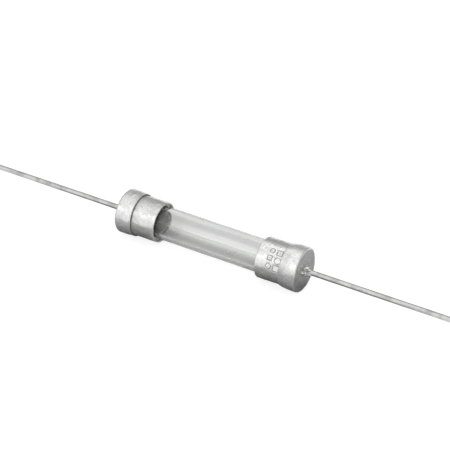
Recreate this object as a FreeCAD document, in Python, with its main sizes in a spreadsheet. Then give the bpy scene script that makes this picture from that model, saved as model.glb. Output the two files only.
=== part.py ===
import FreeCAD, Part

"""Axial-lead glass cartridge fuse, 6.35 x 31.75 mm (quarter inch by one and a quarter inch).

The fuse lies along X with its centre at the origin and +Z up. A glass tube is held in two drawn
metal ferrules by a ring of cement each. A fine fuse wire runs through the tube and ends in a plug
of solder at the bottom of each ferrule. Over each ferrule goes a thin lead cap, held by a film of
solder and by its crimped skirt, and a stiff tinned lead is welded to the middle of each lead cap.

Every piece of an end is drawn at the right-hand end, towards +X. The piece of the left-hand end is
the same drawing turned half a turn about Z.
"""

import math
import os

import Sketcher

SIDES = {"left": 180.0, "right": 0.0}  # turn about Z, in degrees
ON_CURVE = 1e-5  # how near an edge lies to the circle that it is picked by, in millimetres
HINGE_HALF = 1.0  # half the drawn length of the line that the fuse wire is bent about

DRIVING_SIZES = [
    # alias, millimetres, what it is
    ("fuse_len", 31.0, "length over the two ferrules"),
    ("ferrule_od", 6.45, "outside diameter of a ferrule"),
    ("ferrule_wall", 0.28, "wall of a ferrule, round and at its end"),
    ("ferrule_len", 6.6, "outside length of a ferrule"),
    ("ferrule_corner", 0.55, "outside radius where a ferrule's wall meets its end"),
    ("ferrule_root", 0.27, "inside radius where a ferrule's wall meets its end"),
    ("ferrule_lip", 0.08, "rounding of a ferrule's mouth"),
    ("cement_gap", 0.35, "radial gap between the glass and a ferrule"),
    ("cement_setback", 0.4, "from a ferrule's mouth to its ring of cement"),
    ("cement_len", 2.3, "length of a ring of cement"),
    ("tube_wall", 0.65, "wall of the glass tube"),
    ("tube_end_gap", 0.45, "from the end of the glass to a ferrule's inner end face"),
    ("tube_edge", 0.18, "rounding of the fire-polished ends of the glass"),
    ("plug_depth", 0.5, "length of a solder plug's round part inside the glass"),
    ("plug_dome", 0.7, "rise of a solder plug's domed face"),
    ("wire_dia", 0.12, "diameter of the fuse wire"),
    ("wire_sag", 0.35, "how far the middle of the fuse wire hangs below its ends"),
    ("wire_bury", 0.5, "length of each end of the fuse wire in its solder plug"),
    ("film_thick", 0.08, "solder film between a ferrule's end and its lead cap"),
    ("film_margin", 0.1, "how far a solder film stays inside the ferrule's flat end"),
    ("cap_wall", 0.2, "wall of a lead cap"),
    ("cap_len", 2.85, "outside length of a lead cap"),
    ("cap_fit", 0.01, "radial gap between a ferrule and the crimped skirt round it"),
    ("cap_crimp", 0.09, "how much the crimp draws in the radius of the skirt"),
    ("cap_collar", 0.35, "length of the straight stretch at the rim of a lead cap"),
    ("cap_taper", 0.9, "length over which the crimp draws the skirt in"),
    ("cap_corner", 0.32, "outside radius where a lead cap's wall meets its end"),
    ("lead_dia", 0.81, "diameter of a lead"),
    ("lead_len", 38.1, "length of a lead from the face of its cap"),
    ("lead_point", 0.12, "chamfer at the cut end of a lead"),
    ("weld_spread", 0.42, "how far a weld spreads round its lead on the cap"),
    ("weld_height", 0.75, "how far a weld climbs its lead"),
    ("weld_hollow", 0.9, "radius of a weld's hollow face"),
]


class Size:
    """A length with the spreadsheet formula that gives it, so that both stay the same."""

    def __init__(self, value, formula):
        self.value = value
        self.formula = formula

    @staticmethod
    def of(other):
        return other if isinstance(other, Size) else Size(float(other), repr(other))

    def joined(self, sign, other, value):
        return Size(value, f"({self.formula} {sign} {other.formula})")

    def __add__(self, other):
        other = Size.of(other)
        return self.joined("+", other, self.value + other.value)

    def __sub__(self, other):
        other = Size.of(other)
        return self.joined("-", other, self.value - other.value)

    def __mul__(self, other):
        other = Size.of(other)
        return self.joined("*", other, self.value * other.value)

    def __truediv__(self, other):
        other = Size.of(other)
        return self.joined("/", other, self.value / other.value)


class Arc:
    """A round stretch between two corners of a profile, bulging away from the axis or towards it."""

    def __init__(self, radius, outwards):
        self.radius = radius
        self.outwards = outwards

    def middle(self, start, end):
        """The point half way along the arc from start to end."""
        chord = end - start
        half = chord.Length / 2
        rise = self.radius.value - math.sqrt(self.radius.value**2 - half**2)
        across = FreeCAD.Vector(-chord.y, chord.x, 0).normalize()
        if (across.y > 0) != self.outwards:
            across = across * -1
        return (start + end) * 0.5 + across * rise


def make_sheet(doc):
    """Fills the spreadsheet and returns each driving size by its alias."""
    sheet = doc.addObject("Spreadsheet::Sheet", "Sizes")
    sizes = {}
    for row, (alias, value, meaning) in enumerate(DRIVING_SIZES, start=1):
        sheet.set(f"A{row}", meaning)
        sheet.set(f"B{row}", str(value))
        sheet.setAlias(f"B{row}", alias)
        sizes[alias] = Size(value, f"Sizes.{alias}")
    doc.recompute()
    return sizes


def new_body(doc, label):
    body = doc.addObject("PartDesign::Body", label)
    body.Label = label
    return body


def plane_of(body, role):
    return next(f for f in body.Origin.OriginFeatures if f.Role == role)


def new_sketch(body, name, role):
    sketch = body.newObject("Sketcher::SketchObject", name)
    sketch.AttachmentSupport = [(plane_of(body, role), "")]
    sketch.MapMode = "FlatFace"
    return sketch


def tie(sketch, constraint, name, size):
    """Adds a measured constraint and binds it to its formula."""
    index = sketch.addConstraint(constraint)
    sketch.renameConstraint(index, name)
    sketch.setExpression(f"Constraints.{name}", size.formula)


def end_at(sketch, edge, point):
    """Which end of an edge lies at a point: 1 for its start and 2 for its end."""
    start = sketch.Geometry[edge].StartPoint
    return 1 if (start - point).Length < ON_CURVE else 2


def draw_profile(sketch, outline):
    """Draws a closed half-section. outline alternates corners (x, radius), with an Arc where the
    stretch to the next corner is round. A radius of None lies on the axis of the fuse."""
    corners = []
    arcs = {}  # each by the number of the corner that it starts from
    for item in outline:
        if isinstance(item, Arc):
            arcs[len(corners) - 1] = item
        else:
            corners.append(item)
    points = [
        FreeCAD.Vector(x.value, 0.0 if radius is None else radius.value, 0) for x, radius in corners
    ]
    for number, start in enumerate(points):
        end = points[(number + 1) % len(points)]
        if number in arcs:
            sketch.addGeometry(Part.Arc(start, arcs[number].middle(start, end), end), False)
        else:
            sketch.addGeometry(Part.LineSegment(start, end), False)
    for number, (x, radius) in enumerate(corners):
        before = (number - 1) % len(corners)
        here = end_at(sketch, number, points[number])
        there = end_at(sketch, before, points[number])
        sketch.addConstraint(Sketcher.Constraint("Coincident", before, there, number, here))
        along = Sketcher.Constraint("DistanceX", -1, 1, number, here, x.value)
        tie(sketch, along, f"along{number}", x)
        if radius is None:
            sketch.addConstraint(Sketcher.Constraint("PointOnObject", number, here, -1))
        else:
            out = Sketcher.Constraint("DistanceY", -1, 1, number, here, radius.value)
            tie(sketch, out, f"out{number}", radius)
    for number, arc in arcs.items():
        round_one = Sketcher.Constraint("Radius", number, arc.radius.value)
        tie(sketch, round_one, f"round{number}", arc.radius)


def revolved(doc, label, outline, turn):
    """A body turned about the fuse's axis from its half-section, placed at one end of the fuse."""
    body = new_body(doc, label)
    sketch = new_sketch(body, f"{label}_section", "XY_Plane")
    draw_profile(sketch, outline)
    feature = body.newObject("PartDesign::Revolution", f"{label}_turned")
    feature.Profile = sketch
    feature.ReferenceAxis = (sketch, ["H_Axis"])
    feature.Angle = 360.0
    doc.recompute()
    place_at_end(body, turn)
    return body


def place_at_end(body, turn):
    body.Placement = FreeCAD.Placement(
        FreeCAD.Vector(0, 0, 0), FreeCAD.Rotation(FreeCAD.Vector(0, 0, 1), turn)
    )


def circles_at(shape, x, radius):
    """Names of the round edges about the fuse's axis with this distance from the middle and radius."""
    names = []
    for number, edge in enumerate(shape.Edges, start=1):
        curve = edge.Curve
        if curve.TypeId != "Part::GeomCircle":
            continue
        off_place = abs(abs(curve.Center.x) - x.value)
        if off_place < ON_CURVE and abs(curve.Radius - radius.value) < ON_CURVE:
            names.append(f"Edge{number}")
    return names


def round_edges(doc, body, name, size, circles, kind="Fillet"):
    """Rounds, or with kind Chamfer bevels, the body's round edges at each (x, radius) in circles."""
    doc.recompute()
    base = body.Tip
    edges = []
    for x, radius in circles:
        # a body's features are in its own axes, so its Placement doesn't matter here
        edges += circles_at(base.Shape, x, radius)
    if len(edges) < len(circles):
        raise RuntimeError(f"{body.Label}: only {len(edges)} of {len(circles)} edges found")
    feature = body.newObject(f"PartDesign::{kind}", name)
    feature.Base = (base, edges)
    quantity = "Radius" if kind == "Fillet" else "Size"
    setattr(feature, quantity, size.value)
    feature.setExpression(quantity, size.formula)
    doc.recompute()
    return feature


def make_glass_tube(doc, label, half_len, outer, bore, edge):
    body = new_body(doc, label)
    sketch = new_sketch(body, f"{label}_section", "YZ_Plane")
    middle = FreeCAD.Vector(0, 0, 0)
    axis = FreeCAD.Vector(0, 0, 1)
    for number, (name, radius) in enumerate((("outer", outer), ("bore", bore))):
        sketch.addGeometry(Part.Circle(middle, axis, radius.value), False)
        sketch.addConstraint(Sketcher.Constraint("Coincident", number, 3, -1, 1))
        tie(sketch, Sketcher.Constraint("Radius", number, radius.value), name, radius)
    pad = body.newObject("PartDesign::Pad", f"{label}_length")
    pad.Profile = sketch
    pad.SideType = "Symmetric"
    length = half_len * 2
    pad.Length = length.value
    pad.setExpression("Length", length.formula)
    round_edges(doc, body, f"{label}_polish", edge, [(half_len, outer), (half_len, bore)])
    return body


def make_fuse_wire(doc, label, half_len, sag, radius):
    """A round wire bent to one flat arc. Its ends lie on the fuse's axis and its middle hangs."""
    bend = (half_len * half_len + sag * sag) / (sag * 2)
    body = new_body(doc, label)
    sketch = new_sketch(body, f"{label}_section", "YZ_Plane")
    lowest = FreeCAD.Vector(0, -sag.value, 0)
    sketch.addGeometry(Part.Circle(lowest, FreeCAD.Vector(0, 0, 1), radius.value), False)
    sketch.addConstraint(Sketcher.Constraint("PointOnObject", 0, 3, -2))
    tie(sketch, Sketcher.Constraint("Radius", 0, radius.value), "wire", radius)
    tie(sketch, Sketcher.Constraint("DistanceY", 0, 3, -1, 1, sag.value), "hang", sag)
    centre_height = bend - sag
    left = FreeCAD.Vector(-HINGE_HALF, centre_height.value, 0)
    right = FreeCAD.Vector(HINGE_HALF, centre_height.value, 0)
    hinge = sketch.addGeometry(Part.LineSegment(left, right), True)
    sketch.addConstraint(Sketcher.Constraint("Symmetric", hinge, 1, hinge, 2, -2))
    span = Size.of(2 * HINGE_HALF)
    tie(sketch, Sketcher.Constraint("DistanceX", hinge, 1, hinge, 2, span.value), "hinge", span)
    above = Sketcher.Constraint("DistanceY", -1, 1, hinge, 1, centre_height.value)
    tie(sketch, above, "above", centre_height)
    feature = body.newObject("PartDesign::Revolution", f"{label}_bent")
    feature.Profile = sketch
    feature.ReferenceAxis = (sketch, ["Axis0"])
    feature.Midplane = True
    feature.Angle = 2 * math.degrees(math.asin(half_len.value / bend.value))
    feature.setExpression("Angle", f"2 * asin({half_len.formula} / {bend.formula})")
    doc.recompute()
    return body


def make_ferrule(doc, label, turn, end, mouth, outer, wall, corner, root, lip):
    inner = outer - wall
    floor = end - wall
    outline = [(end, None), (end, outer), (mouth, outer), (mouth, inner), (floor, inner), (floor, None)]
    body = revolved(doc, label, outline, turn)
    round_edges(doc, body, f"{label}_corner", corner, [(end, outer)])
    round_edges(doc, body, f"{label}_root", root, [(floor, inner)])
    round_edges(doc, body, f"{label}_lip", lip, [(mouth, outer)])
    return body


def make_solder_plug(doc, label, turn, wire, floor, tube_end, flange, bore, depth, dome):
    """Solder under the end of the glass and up its bore, with a domed face that holds the wire."""
    inside = tube_end - depth
    ball = (bore * bore + dome * dome) / (dome * 2)
    outline = [
        (floor, None),
        (floor, flange),
        (tube_end, flange),
        (tube_end, bore),
        (inside, bore),
        Arc(ball, outwards=True),
        (inside - dome, None),
    ]
    blank = revolved(doc, f"{label}_blank", outline, turn)
    plug = doc.addObject("Part::Cut", label)
    plug.Base = blank
    plug.Tool = wire
    plug.Label = label
    doc.recompute()
    return plug


def make_ring(doc, label, turn, start, end, inner, outer):
    """A plain ring, or a disc if inner is None."""
    outline = [(start, inner), (start, outer), (end, outer), (end, inner)]
    return revolved(doc, label, outline, turn)


def make_lead_cap(doc, label, turn, end, floor, rim, collar, taper, inner, crimp, wall, corner):
    """A thin cup. Its skirt is drawn in by the crimp and ends in a straight collar."""
    wide = inner + crimp
    neck = rim + collar
    shoulder = neck + taper
    outline = [
        (end, None),
        (end, wide + wall),
        (shoulder, wide + wall),
        (neck, inner + wall),
        (rim, inner + wall),
        (rim, inner),
        (neck, inner),
        (shoulder, wide),
        (floor, wide),
        (floor, None),
    ]
    body = revolved(doc, label, outline, turn)
    round_edges(doc, body, f"{label}_corner", corner, [(end, wide + wall)])
    round_edges(doc, body, f"{label}_root", corner - wall, [(floor, wide)])
    return body


def make_lead(doc, label, turn, start, length, radius, point):
    tip = start + length
    outline = [(start, None), (start, radius), (tip, radius), (tip, None)]
    body = revolved(doc, label, outline, turn)
    round_edges(doc, body, f"{label}_point", point, [(tip, radius)], kind="Chamfer")
    return body


def make_weld(doc, label, turn, start, height, lead, spread, hollow):
    """The hollow-faced ring of weld metal round the foot of a lead."""
    outline = [(start, lead), (start, lead + spread), Arc(hollow, outwards=False), (start + height, lead)]
    return revolved(doc, label, outline, turn)


def build(doc):
    """Makes every piece and returns the objects to write out."""
    size = make_sheet(doc)
    end = size["fuse_len"] / 2
    floor = end - size["ferrule_wall"]
    mouth = end - size["ferrule_len"]
    ferrule = size["ferrule_od"] / 2
    ferrule_bore = ferrule - size["ferrule_wall"]

    glass = ferrule_bore - size["cement_gap"]
    glass_bore = glass - size["tube_wall"]
    tube_end = floor - size["tube_end_gap"]

    dome_top = tube_end - size["plug_depth"] - size["plug_dome"]
    wire_end = dome_top + size["wire_bury"]
    cement_start = mouth + size["cement_setback"]

    film_end = end + size["film_thick"]
    cap_end = film_end + size["cap_wall"]
    lead = size["lead_dia"] / 2

    tube = make_glass_tube(doc, "glass_tube", tube_end, glass, glass_bore, size["tube_edge"])
    wire = make_fuse_wire(doc, "fuse_wire", wire_end, size["wire_sag"], size["wire_dia"] / 2)
    pieces = [tube, wire]
    for side, turn in SIDES.items():
        pieces += [
            make_ferrule(
                doc,
                f"{side}_ferrule",
                turn,
                end,
                mouth,
                ferrule,
                size["ferrule_wall"],
                size["ferrule_corner"],
                size["ferrule_root"],
                size["ferrule_lip"],
            ),
            make_solder_plug(
                doc,
                f"{side}_solder_plug",
                turn,
                wire,
                floor,
                tube_end,
                glass - size["tube_edge"],
                glass_bore,
                size["plug_depth"],
                size["plug_dome"],
            ),
            make_ring(
                doc,
                f"{side}_cement_ring",
                turn,
                cement_start,
                cement_start + size["cement_len"],
                glass,
                ferrule_bore,
            ),
            make_ring(
                doc,
                f"{side}_solder_film",
                turn,
                end,
                film_end,
                None,
                ferrule - size["ferrule_corner"] - size["film_margin"],
            ),
            make_lead_cap(
                doc,
                f"{side}_lead_cap",
                turn,
                cap_end,
                film_end,
                cap_end - size["cap_len"],
                size["cap_collar"],
                size["cap_taper"],
                ferrule + size["cap_fit"],
                size["cap_crimp"],
                size["cap_wall"],
                size["cap_corner"],
            ),
            make_lead(
                doc, f"{side}_lead", turn, cap_end, size["lead_len"], lead, size["lead_point"]
            ),
            make_weld(
                doc,
                f"{side}_lead_weld",
                turn,
                cap_end,
                size["weld_height"],
                lead,
                size["weld_spread"],
                size["weld_hollow"],
            ),
        ]
    doc.recompute()
    return pieces


def check(doc, pieces):
    """Stops before anything is written if an object failed or a piece isn't one sound solid."""
    for item in doc.Objects:
        if "Invalid" in item.State or "Error" in item.State:
            raise RuntimeError(f"{item.Label} failed: {item.State}")
    for piece in pieces:
        shape = piece.Shape
        if shape.isNull() or not shape.isValid() or len(shape.Solids) != 1:
            raise RuntimeError(f"{piece.Label} isn't one sound solid")


def write(pieces):
    os.makedirs("parts", exist_ok=True)
    for piece in pieces:
        piece.Shape.exportStep(os.path.join("parts", f"{piece.Label}.step"))
        box = piece.Shape.BoundBox
        print(
            f"{piece.Label:20s} x {box.XMin:8.3f} {box.XMax:8.3f}  z {box.ZMin:7.3f} {box.ZMax:7.3f}"
            f"  volume {piece.Shape.Volume:9.4f}"
        )


document = FreeCAD.newDocument("cartridge_fuse")
made = build(document)
check(document, made)
write(made)
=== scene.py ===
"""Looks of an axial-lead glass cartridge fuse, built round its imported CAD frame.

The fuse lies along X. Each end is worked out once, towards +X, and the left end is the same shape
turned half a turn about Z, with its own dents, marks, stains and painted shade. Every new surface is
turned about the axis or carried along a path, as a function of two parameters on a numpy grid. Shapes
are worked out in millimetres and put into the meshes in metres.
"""

import logging
import math
from dataclasses import dataclass, replace
from enum import Enum
from typing import Callable, Sequence

import bpy
import numpy as np
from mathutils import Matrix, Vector

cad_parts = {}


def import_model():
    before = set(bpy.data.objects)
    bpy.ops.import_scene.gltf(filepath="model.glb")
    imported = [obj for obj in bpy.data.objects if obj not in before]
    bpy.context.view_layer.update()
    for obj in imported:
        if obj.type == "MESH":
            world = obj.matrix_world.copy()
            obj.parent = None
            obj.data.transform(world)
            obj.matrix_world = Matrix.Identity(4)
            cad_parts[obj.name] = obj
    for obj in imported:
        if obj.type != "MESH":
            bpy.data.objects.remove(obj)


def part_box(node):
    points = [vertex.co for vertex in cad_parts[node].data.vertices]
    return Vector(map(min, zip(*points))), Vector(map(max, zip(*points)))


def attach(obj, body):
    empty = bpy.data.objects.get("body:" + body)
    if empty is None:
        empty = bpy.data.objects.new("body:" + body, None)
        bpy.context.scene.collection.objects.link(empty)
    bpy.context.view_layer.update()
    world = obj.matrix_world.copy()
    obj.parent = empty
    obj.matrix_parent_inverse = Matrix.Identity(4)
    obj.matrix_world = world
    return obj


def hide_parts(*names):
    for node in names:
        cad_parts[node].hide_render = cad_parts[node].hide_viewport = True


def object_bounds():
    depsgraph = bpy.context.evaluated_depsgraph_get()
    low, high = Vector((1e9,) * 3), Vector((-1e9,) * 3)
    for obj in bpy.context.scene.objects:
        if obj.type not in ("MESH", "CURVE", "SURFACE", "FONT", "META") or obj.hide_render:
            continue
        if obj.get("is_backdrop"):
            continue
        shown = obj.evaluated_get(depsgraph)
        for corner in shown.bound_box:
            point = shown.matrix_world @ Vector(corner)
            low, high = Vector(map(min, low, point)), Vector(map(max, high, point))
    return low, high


LOG = logging.getLogger("cartridge_fuse")
MM = 0.001
TURN = 2.0 * math.pi
BODY = "root"
Colour = tuple[float, float, float]
Relief = Callable[[np.ndarray, np.ndarray, np.ndarray], np.ndarray]


def grey(value: float) -> Colour:
    """A neutral colour."""
    return (value, value, value)


class Side(Enum):
    """An end of the fuse, with the sign of its X and the number that its random draws start from."""

    LEFT = (-1.0, 11)
    RIGHT = (1.0, 29)

    @property
    def sign(self) -> float:
        """The direction of this end along X."""
        return self.value[0]

    @property
    def seed(self) -> int:
        """Where this end's random draws start."""
        return self.value[1]

    def node(self, name: str) -> str:
        """The name of this end's own piece of the given kind."""
        return f"{self.name.lower()}_{name}"


# ---------------------------------------------------------------- shapes


@dataclass(frozen=True)
class Span:
    """Where a turned CAD node lies, in millimetres: its near and far end along the axis, both counted
    outwards from the middle of the fuse, and its outside radius."""

    near: float
    far: float
    radius: float

    @classmethod
    def of(cls, node: str) -> "Span":
        """Reads a node's box from the frame.

        Args:
            node: the CAD node's name.

        Returns:
            Its span, as if it lay at the right-hand end.
        """
        low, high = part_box(node)
        along = sorted((abs(low.x), abs(high.x))) if low.x * high.x > 0 else (0.0, high.x)
        return cls(along[0] / MM, along[1] / MM, max(high.y, high.z) / MM)


@dataclass(frozen=True)
class Corner:
    """A corner of a half-section, in millimetres: its place, the radius that rounds it, and how far
    apart points are set along the straight stretch that leaves it in the order that Section.through
    gets. Cups and rods are written the other way round, so there it is the stretch before it."""

    x: float
    r: float
    radius: float = 0.0
    step: float = 0.4


@dataclass(frozen=True)
class Section:
    """A half-section sampled as points, with a mask that is 1 on its outward rounded edges."""

    points: np.ndarray
    edge: np.ndarray
    closed: bool

    SUPPORT = 0.04  # a point this near each end of a straight stretch keeps the shading crisp
    ARC_STEP = math.radians(7.5)
    EDGE_FADE = 0.10

    @classmethod
    def through(cls, corners: Sequence[Corner], closed: bool) -> "Section":
        """Rounds each corner with an arc that touches both straight stretches, and samples the line.

        An arc of radius q at a corner of turn t starts q * tan(t / 2) before the corner, and its
        centre lies on the line that halves the corner's angle.

        Args:
            corners: the corners in order, anticlockwise with x to the right and r upwards.
            closed: True for a ring, False where both ends lie on the axis.

        Returns:
            The sampled section.
        """
        places = [np.array((c.x, c.r)) for c in corners]
        count = len(corners)
        arcs: list[np.ndarray] = []
        for i, corner in enumerate(corners):
            ends = not closed and i in (0, count - 1)
            arcs.append(places[i][None] if ends or corner.radius <= 0 else
                        cls._arc(places[i - 1], places[i], places[(i + 1) % count], corner.radius))
        lines, rounds = [], []
        for i in range(count if closed else count - 1):
            lines += [arcs[i], cls._stretch(arcs[i][-1], arcs[(i + 1) % count][0], corners[i].step)]
        if not closed:
            lines.append(arcs[-1])
        for i, arc in enumerate(arcs):
            if len(arc) > 1:
                before, after = arc[1] - arc[0], arc[-1] - arc[-2]
                if before[0] * after[1] - before[1] * after[0] > 0:
                    rounds.append(arc)
        points = np.vstack([line for line in lines if len(line)])
        edge = np.zeros(len(points))
        if rounds:
            gaps = np.linalg.norm(points[:, None] - np.vstack(rounds)[None], axis=2).min(axis=1)
            edge = np.exp(-gaps / cls.EDGE_FADE)
        return cls(points, edge, closed)

    @classmethod
    def _arc(cls, before: np.ndarray, corner: np.ndarray, after: np.ndarray, radius: float) -> np.ndarray:
        """Points of the arc that rounds one corner.

        Args:
            before, corner, after: three corners in a row.
            radius: the arc's radius.

        Returns:
            The arc's points, tangent points included.
        """
        a = (before - corner) / np.linalg.norm(before - corner)
        b = (after - corner) / np.linalg.norm(after - corner)
        half = math.acos(float(np.clip(a @ b, -1, 1))) / 2
        middle = (a + b) / np.linalg.norm(a + b)
        centre = corner + middle * radius / math.sin(half)
        first = corner + a * radius / math.tan(half) - centre
        last = corner + b * radius / math.tan(half) - centre
        start = math.atan2(first[1], first[0])
        sweep = (math.atan2(last[1], last[0]) - start + math.pi) % TURN - math.pi
        angles = start + sweep * np.linspace(0, 1, max(4, int(abs(sweep) / cls.ARC_STEP) + 2))
        return centre + radius * np.stack((np.cos(angles), np.sin(angles)), axis=1)

    @classmethod
    def _stretch(cls, start: np.ndarray, end: np.ndarray, step: float) -> np.ndarray:
        """Points inside a straight stretch, its two ends left out.

        Args:
            start, end: the ends of the stretch.
            step: the widest gap between points.

        Returns:
            The points, with one close to each end.
        """
        length = float(np.linalg.norm(end - start))
        if length < 3 * cls.SUPPORT:
            return np.empty((0, 2))
        share = np.linspace(0, 1, max(2, int(length / step) + 1))[1:-1]
        near = cls.SUPPORT / length
        inner = share[(share > 2 * near) & (share < 1 - 2 * near)]
        share = np.unique(np.concatenate(([near], inner, [1 - near])))
        return start + (end - start) * share[:, None]

    def normals(self) -> np.ndarray:
        """The section's outward normals: its tangent turned a quarter turn clockwise."""
        p = self.points
        ahead = np.roll(p, -1, axis=0) - np.roll(p, 1, axis=0)
        if not self.closed:
            ahead[0], ahead[-1] = p[1] - p[0], p[-1] - p[-2]
        ahead = ahead / np.maximum(np.linalg.norm(ahead, axis=1, keepdims=True), 1e-9)
        return np.stack((ahead[:, 1], -ahead[:, 0]), axis=1)


@dataclass(frozen=True)
class Swell:
    """Low irregular waves over a turned surface, as hand work and drawing dies leave them.

    The height is a sum of sine waves. Each has a whole number of waves round the axis, a random
    wavelength along it and a random phase, and is as high as its wavelength is long.
    """

    height: float
    longest: float
    shortest: float
    seed: int
    waves: int = 26

    def __call__(self, x: np.ndarray, angle: np.ndarray, radius: np.ndarray) -> np.ndarray:
        """The height at each point.

        Args:
            x: distance along the axis.
            angle: angle round the axis, from the top towards -Y, before the left end is turned.
            radius: distance from the axis, which sets how many waves go round.

        Returns:
            Heights in millimetres, about plus or minus the swell's height.
        """
        draw = np.random.default_rng(self.seed)
        girth = TURN * float(np.max(radius))
        total = np.zeros(np.broadcast(x, angle).shape)
        power = 0.0
        for _ in range(self.waves):
            wavelength = self.shortest * (self.longest / self.shortest) ** draw.random()
            slant = draw.uniform(0, TURN)
            around = round(girth / wavelength * math.cos(slant))
            along = TURN / wavelength * math.sin(slant)
            total += wavelength * np.sin(along * x + around * angle + draw.uniform(0, TURN))
            power += wavelength**2 / 2
        return self.height * total / math.sqrt(power)


@dataclass(frozen=True)
class Shell:
    """A grid of points on a turned surface with the masks that its finish reads."""

    points: np.ndarray
    masks: dict[str, np.ndarray]
    wrap_rows: bool
    poles: tuple[bool, bool]

    @property
    def along(self) -> np.ndarray:
        """Each point's distance along the axis."""
        return self.points[..., 0]

    @property
    def out(self) -> np.ndarray:
        """Each point's distance from the axis."""
        return np.hypot(self.points[..., 1], self.points[..., 2])

    def with_stain_and_shade(self, stain_and_shade: np.ndarray | float) -> "Shell":
        """The same shell with a mask of stains and painted shade, held between 0 and 1."""
        mask = np.clip(stain_and_shade, 0, 1) * np.ones(self.points.shape[:2])
        return replace(self, masks={**self.masks, "stain_and_shade": mask})

    def to_object(self, name: str, side: Side) -> bpy.types.Object:
        """Puts the grid into a mesh, turned to its end of the fuse, with faces that point outwards.

        Rows follow the section and columns go round. A row on the axis becomes one point, joined to
        the next row by triangles. The faces are turned over if the mesh's signed volume, a third of
        the sum of each triangle's corner dotted with its area vector, is negative.

        Args:
            name: the new object's name.
            side: the end of the fuse that it belongs to.

        Returns:
            The object, at the origin.
        """
        rows, columns, _ = self.points.shape
        numbers = np.arange(rows * columns).reshape(rows, columns)
        lower = numbers if self.wrap_rows else numbers[:-1]
        upper = np.roll(numbers, -1, axis=0) if self.wrap_rows else numbers[1:]
        quads = np.stack((lower, np.roll(lower, -1, 1), np.roll(upper, -1, 1), upper), axis=2).reshape(-1, 4)
        places = self.points.reshape(-1, 3) * MM
        masks = {key: value.reshape(-1) for key, value in self.masks.items()}
        fans = []
        for end, ring in enumerate((numbers[0], numbers[-1])):
            if self.poles[end]:
                tip = len(places)
                places = np.vstack((places, places[ring].mean(axis=0)))
                masks = {key: np.append(value, value[ring].mean()) for key, value in masks.items()}
                fan = np.stack((np.full(columns, tip), np.roll(ring, -1), ring), axis=1)
                fans.append(fan if end == 0 else fan[:, ::-1])
        if side is Side.LEFT:
            places = places * (-1.0, -1.0, 1.0)
        tris = np.vstack(fans) if fans else np.empty((0, 3), int)
        if self._volume(places, quads, tris) < 0:
            quads, tris = quads[:, ::-1], tris[:, ::-1]
        return make_object(name, places, quads, tris, masks)

    @staticmethod
    def _volume(places: np.ndarray, quads: np.ndarray, tris: np.ndarray) -> float:
        """The signed volume inside the faces."""
        halves = np.vstack((quads[:, [0, 1, 2]], quads[:, [0, 2, 3]], tris))
        a, b, c = (places[halves[:, k]] for k in range(3))
        return float(np.einsum("ij,ij->i", a, np.cross(b, c)).sum() / 6)


def make_object(name: str, places: np.ndarray, quads: np.ndarray, tris: np.ndarray,
                masks: dict[str, np.ndarray]) -> bpy.types.Object:
    """Makes a smooth-shaded mesh object from whole arrays.

    Args:
        name: the object's and the mesh's name.
        places: points in metres.
        quads, tris: point numbers of the four-sided and three-sided faces.
        masks: float attributes, one value for each point.

    Returns:
        The object, linked to the scene at the origin.
    """
    mesh = bpy.data.meshes.new(name)
    corners = np.concatenate((quads.reshape(-1), tris.reshape(-1))).astype(np.int32)
    sizes = np.concatenate((np.full(len(quads), 4), np.full(len(tris), 3)))
    mesh.vertices.add(len(places))
    mesh.vertices.foreach_set("co", places.reshape(-1).astype(np.float32))
    mesh.loops.add(len(corners))
    mesh.loops.foreach_set("vertex_index", corners)
    mesh.polygons.add(len(sizes))
    mesh.polygons.foreach_set("loop_start", np.concatenate(([0], np.cumsum(sizes)[:-1])).astype(np.int32))
    mesh.update(calc_edges=True)
    mesh.validate()
    for key, values in masks.items():
        mesh.attributes.new(key, "FLOAT", "POINT").data.foreach_set("value", values.astype(np.float32))
    mesh.shade_smooth()
    thing = bpy.data.objects.new(name, mesh)
    bpy.context.scene.collection.objects.link(thing)
    return thing


def angles_round(columns: int) -> np.ndarray:
    """Equal steps of angle once round the axis, as one row."""
    return (np.arange(columns) * TURN / columns)[None]


def turn_section(section: Section, columns: int, relief: Relief | None = None) -> Shell:
    """Turns a half-section about the axis.

    A point at distance x along the axis and r from it goes to (x, -r sin a, r cos a) for each angle
    a. The relief first moves it along the section's own normal.

    Args:
        section: the half-section. Where it isn't closed, its first and last point lie on the axis.
        columns: how many points go round.
        relief: the height added at (x, angle, radius), in millimetres.

    Returns:
        The shell, with its edge mask.
    """
    keep = slice(None) if section.closed else slice(1, -1)
    x, r = section.points[keep, 0, None], section.points[keep, 1, None]
    normal = section.normals()[keep]
    angle = angles_round(columns)
    height = relief(x, angle, r) if relief else np.zeros((len(x), columns))
    along = x + normal[:, 0, None] * height
    out = r + normal[:, 1, None] * height
    points = np.stack((along, -out * np.sin(angle), out * np.cos(angle)), axis=2)
    edge = np.broadcast_to(section.edge[keep, None], (len(x), columns))
    open_ends = (not section.closed,) * 2
    return Shell(points, {"edge": edge.copy()}, section.closed, open_ends)


def smooth_step(value: np.ndarray, low: float, high: float) -> np.ndarray:
    """0 below low, 1 above high, and the cubic 3 t^2 - 2 t^3 between."""
    share = np.clip((value - low) / (high - low), 0, 1)
    return share * share * (3 - 2 * share)


# ---------------------------------------------------------------- shader graphs


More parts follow.
